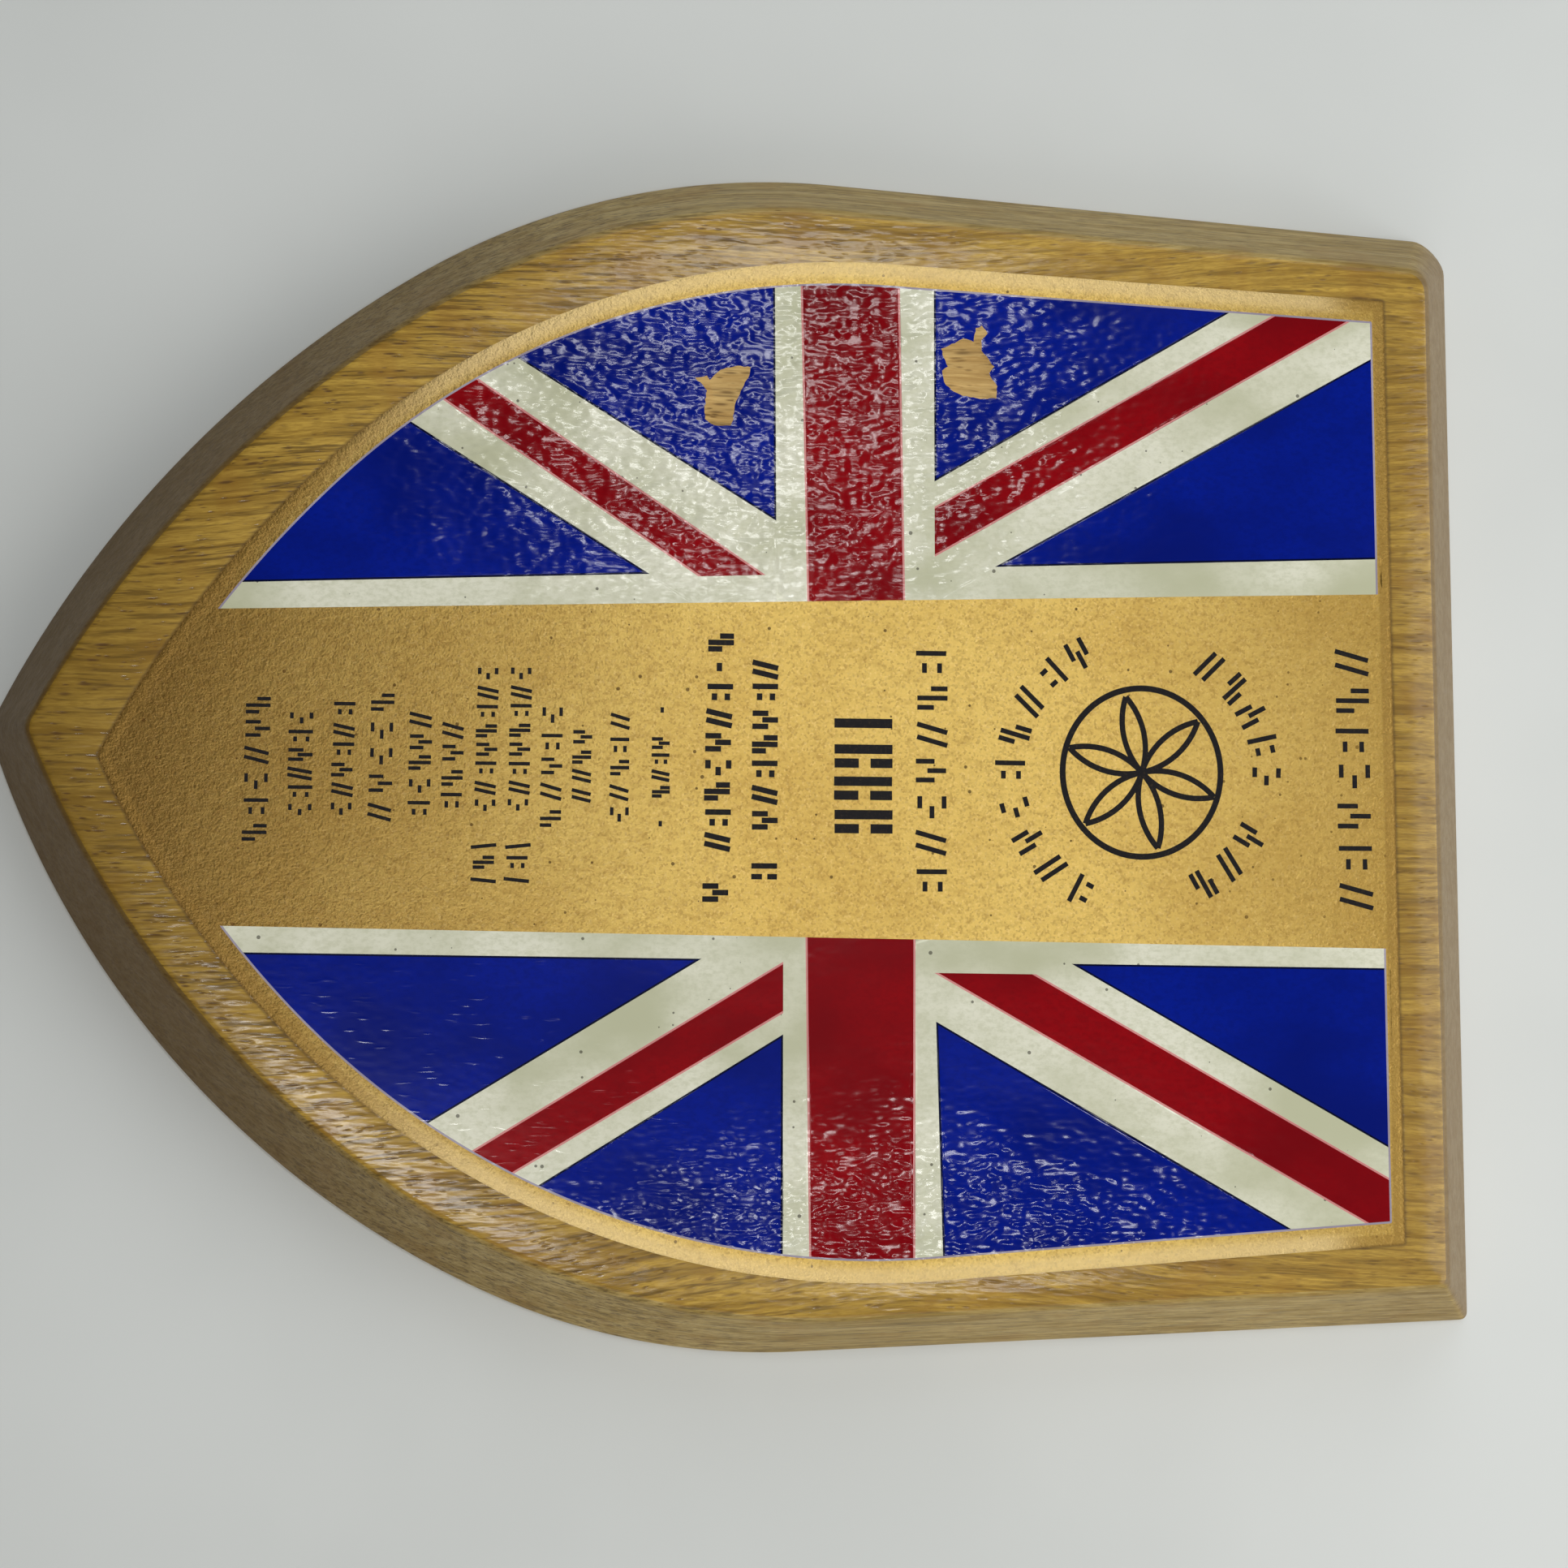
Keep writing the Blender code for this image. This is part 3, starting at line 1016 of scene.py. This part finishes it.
def gold_material():
    """Dulled gold paint: darkened towards the point and the top as painted shade, paler along the edging of
    the two sides as a painted highlight, and darkened along the groove as painted shade.
    """
    graph = Graph("gold_paint")
    patches = graph.noise(graph.scaled(0.06, 0.06, 0.05), detail=3.0)
    tone = graph.mix(graph.ramp(patches, 0.35, 0.7), srgb(219, 186, 101), srgb(205, 170, 88))
    flakes = graph.cells(graph.scaled(4.8, 4.8, 4.8))
    dull, bright = split(graph, flakes.outputs["Color"])
    mottle = graph.noise(graph.scaled(1.7, 1.7, 1.0), detail=3.0, rough=0.6)
    tone = graph.tint(tone, mottle, 0.42, 0.72, 0.30, srgb(150, 112, 48))
    tone = graph.mix(graph.ramp(dull, 0.0, 0.45, 0.32, 0.0), tone, srgb(118, 80, 30))
    tone = graph.tint(tone, bright, 0.75, 1.0, 0.26, srgb(244, 214, 144))
    tone = graph.mix(graph.times(specks(graph, 0.3), 0.8), tone, srgb(70, 48, 20))
    up = upright(graph)
    # painted shade: the gold is darkened towards the point and towards the top, away from the bright middle
    tone = graph.tint(tone, up, 0.0, -60.0, 0.84, srgb(98, 67, 21), smooth=False)
    tone = graph.tint(tone, up, 36.0, 66.0, 0.62, srgb(140, 108, 44), smooth=False)
    rim = graph.value("rim")
    crease = graph.value("crease")
    # painted highlight: the gold's edging down the two sides is made paler, as if catching the light
    sides = graph.math("SUBTRACT", 1.0, crease)
    tone = graph.mix(graph.times(graph.ramp(rim, -2.2, -0.7, 0.0, 0.58), sides), tone, srgb(232, 208, 156))
    # painted shade: a faint dark band and a dark line along the groove, strongest at the point and the top
    tone = graph.mix(graph.times(graph.ramp(rim, -1.3, -1.0, 0.0, 0.5), crease), tone, srgb(138, 106, 48))
    tone = graph.mix(graph.times(graph.ramp(rim, -0.28, 0.0, 0.0, 0.55), crease), tone, srgb(90, 62, 22))
    peel = graph.noise(graph.scaled(1.5, 1.5, 1.2), detail=3.0, rough=0.6)
    grit = graph.noise(graph.scaled(4.2, 4.2, 4.2), detail=2.0)
    graph.bump(graph.math("ADD", peel, graph.times(grit, 0.5)), GOLD_RELIEF)
    return graph.finish(tone, 0.38, metallic=0.65, coat=0.05, coat_roughness=0.2, specular=0.2)


def ink_material():
    """Flat black ink, worn brown in places."""
    graph = Graph("black_ink")
    wear = graph.noise(graph.scaled(2.2, 2.2, 2.2), detail=4.0, rough=0.7)
    tone = graph.mix(graph.ramp(wear, 0.5, 0.85, 0.0, 0.45), srgb(24, 22, 24), srgb(92, 74, 44))
    graph.bump(graph.noise(graph.scaled(1.7, 1.7, 1.4), detail=3.0), INK_RELIEF)
    return graph.finish(tone, 0.5, coat=0.05, coat_roughness=0.2, specular=0.1)


def stage_material():
    """A pale matt surface. Seen from behind it lets the view through, so the plaque's back shows."""
    graph = Graph("pale_surface")
    cloud = graph.noise(graph.scaled(0.02, 0.02, 0.02), detail=3.0)
    tone = graph.mix(graph.ramp(cloud, 0.3, 0.7), (0.70, 0.72, 0.70, 1.0), (0.66, 0.68, 0.66, 1.0))
    graph.finish(tone, 0.85)
    side = graph.add("ShaderNodeNewGeometry")
    clear = graph.add("ShaderNodeBsdfTransparent")
    choice = graph.add("ShaderNodeMixShader")
    graph.feed(choice.inputs[0], side.outputs["Backfacing"])
    graph.feed(choice.inputs[1], graph.shader.outputs[0])
    graph.feed(choice.inputs[2], clear.outputs[0])
    output = graph.tree.nodes["Material Output"]
    graph.feed(output.inputs["Surface"], choice.outputs[0])
    return graph.material


# The photograph's viewpoint: where the camera is in millimetres, and the ways its back and its top
# point. The shield's top is to the right of the picture.
CAMERA_PLACE = (19.846, -293.269, -26.509)
CAMERA_BACK = (0.058796, -0.992863, -0.103760)
CAMERA_UP = (-0.998262, -0.058063, -0.010075)
LENS = 65.0             # millimetres, as is the sensor
SENSOR = 36.0

STAGE_REACH = 1.6       # metres from the middle of the pale surface to its edges
STAGE_GAP = 0.0004      # metres between the plaque's back and the pale surface

WORLD_COLOR = (0.95, 0.98, 1.0, 1.0)
WORLD_STRENGTH = 0.05


class Lamp(NamedTuple):
    """A rectangular light, in metres and watts."""
    name: str
    place: tuple
    target: tuple
    size: tuple
    power: float
    color: tuple = (1.0, 1.0, 1.0)


# The glows are small lights that the varnish mirrors where the photo shows its glints.
MIDDLE = (0.0, 0.0, 0.0)
LAMPS = (
    Lamp("key", (0.08, -0.27, 0.40), MIDDLE, (0.50, 0.44), 1.75),
    Lamp("fill_left", (-0.55, -0.40, 0.10), MIDDLE, (0.5, 0.5), 1.06, (0.94, 0.98, 1.0)),
    Lamp("fill_right", (0.59, -0.40, 0.02), MIDDLE, (0.5, 0.5), 1.0, (1.0, 0.96, 0.88)),
    Lamp("upper_glow", (-0.155, -0.60, 0.068), (-0.037, -0.011, 0.004), (0.032, 0.042), 0.125),
    Lamp("top_glow", (-0.229, -0.60, 0.062), (-0.069, -0.011, 0.002), (0.04, 0.14), 0.28),
    Lamp("middle_glow", (-0.034, -0.60, 0.045), (0.003, -0.011, -0.005), (0.025, 0.08), 0.07),
    Lamp("lower_glow", (0.138, -0.60, 0.123), (0.058, -0.011, 0.022), (0.022, 0.08), 0.17),
    Lamp("rim_glow_low", (0.124, -0.60, -0.117), (0.0535, -0.011, -0.056), (0.05, 0.07), 0.28),
    Lamp("rim_glow_high", (0.153, -0.60, -0.053), (0.063, -0.011, -0.035), (0.045, 0.065), 0.19),
    Lamp("back", (0.08, 0.80, 0.12), MIDDLE, (0.5, 0.5), 3.4),
)


def add_object(name, data):
    """A new object in the scene."""
    added = bpy.data.objects.new(name, data)
    bpy.context.scene.collection.objects.link(added)
    return added


def make_camera():
    data = bpy.data.cameras.new("camera")
    data.lens = LENS
    data.sensor_width = SENSOR
    data.clip_start = 0.01
    data.clip_end = 20.0
    camera = add_object("camera", data)
    back = Vector(CAMERA_BACK).normalized()
    right = Vector(CAMERA_UP).cross(back).normalized()
    up = back.cross(right)
    rotation = Matrix((right, up, back)).transposed().to_4x4()
    camera.matrix_world = Matrix.Translation(Vector(CAMERA_PLACE) * MM) @ rotation
    bpy.context.scene.camera = camera


def make_lamp(lamp):
    data = bpy.data.lights.new(lamp.name, "AREA")
    data.shape = "RECTANGLE"
    data.size, data.size_y = lamp.size
    data.energy = lamp.power
    data.color = lamp.color
    light = add_object(lamp.name, data)
    light.location = lamp.place
    aim = Vector(lamp.target) - Vector(lamp.place)
    light.rotation_euler = aim.to_track_quat("-Z", "Y").to_euler()


def make_stage():
    """The pale surface that the plaque lies against."""
    corners = ((-1, -1), (1, -1), (1, 1), (-1, 1))
    mesh = bpy.data.meshes.new("pale_surface")
    mesh.from_pydata([(STAGE_REACH * x, STAGE_GAP, STAGE_REACH * z) for x, z in corners], [], [(0, 1, 2, 3)])
    mesh.materials.append(stage_material())
    surface = add_object("pale_surface", mesh)
    surface.visible_shadow = False      # the plaque's back is lit from behind through it


def light_scene():
    world = bpy.data.worlds.new("studio")
    world.use_nodes = True
    background = world.node_tree.nodes["Background"]
    background.inputs["Color"].default_value = WORLD_COLOR
    background.inputs["Strength"].default_value = WORLD_STRENGTH
    bpy.context.scene.world = world
    bpy.context.scene.view_settings.view_transform = "Standard"
    for lamp in LAMPS:
        make_lamp(lamp)


def main():
    materials = {
        "wood": wood_material("varnished_wood", srgb(194, 157, 63), srgb(141, 106, 28), 0.62, 0.17),
        # The walls' wood is paler and greyer than the face's wood: a duller finish, and partly painted light
        # on walls that get little of it.
        "border": wood_material(
            "border_wood", srgb(190, 165, 104), srgb(154, 127, 62), 0.15, 0.3, BORDER_RELIEF),
        "gold": gold_material(),
        "blue": paint_material("blue_paint", srgb(0, 26, 141), srgb(0, 18, 112)),
        "navy": paint_material("navy_paint", srgb(1, 8, 52), srgb(1, 6, 42)),
        "white": paint_material("white_paint", srgb(232, 231, 211), srgb(192, 193, 162), dirt=0.7),
        "undercoat": paint_material("undercoat", srgb(172, 164, 178), srgb(150, 140, 156)),
        "red": paint_material("red_paint", srgb(145, 2, 13), srgb(117, 1, 11)),
        "blush": paint_material("blush_paint", srgb(222, 150, 146), srgb(206, 132, 130)),
        "bare": wood_material("bare_wood", srgb(208, 174, 110), srgb(178, 140, 78), 0.0, 0.3),
        "ink": ink_material(),
    }
    shield = add_object("shield_body", build_shield(materials))
    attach(shield, "root")
    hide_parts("shield")
    make_stage()
    make_camera()
    light_scene()


main()
